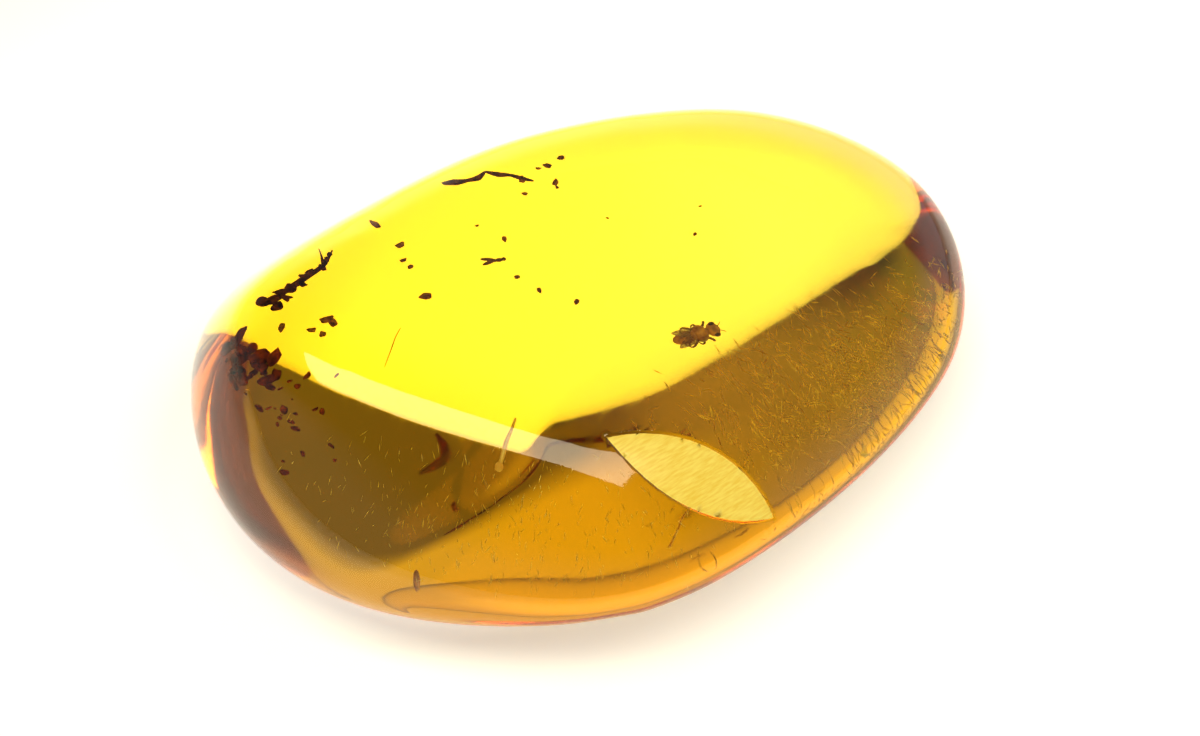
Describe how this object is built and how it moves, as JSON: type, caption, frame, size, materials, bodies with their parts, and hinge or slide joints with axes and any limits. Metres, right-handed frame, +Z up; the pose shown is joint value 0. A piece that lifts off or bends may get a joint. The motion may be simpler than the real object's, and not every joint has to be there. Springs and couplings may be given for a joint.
{
  "type": "insect in amber",
  "caption": "Polished pebble of clear golden amber that rests on a ground flat, with an insect and plant debris sealed inside.",
  "frame": {"origin": "on the ground under the middle of the stone's bounding box", "axes": "+X along the stone's long axis towards its broad far end, +Z up from the resting flat, +Y towards its steep back side"},
  "size_m": [0.0448, 0.0346, 0.0148],
  "materials": {
    "amber": "clear golden resin with a hand polish"
  },
  "bodies": {
    "root": {"amber": "amber"}
  },
  "joints": []
}
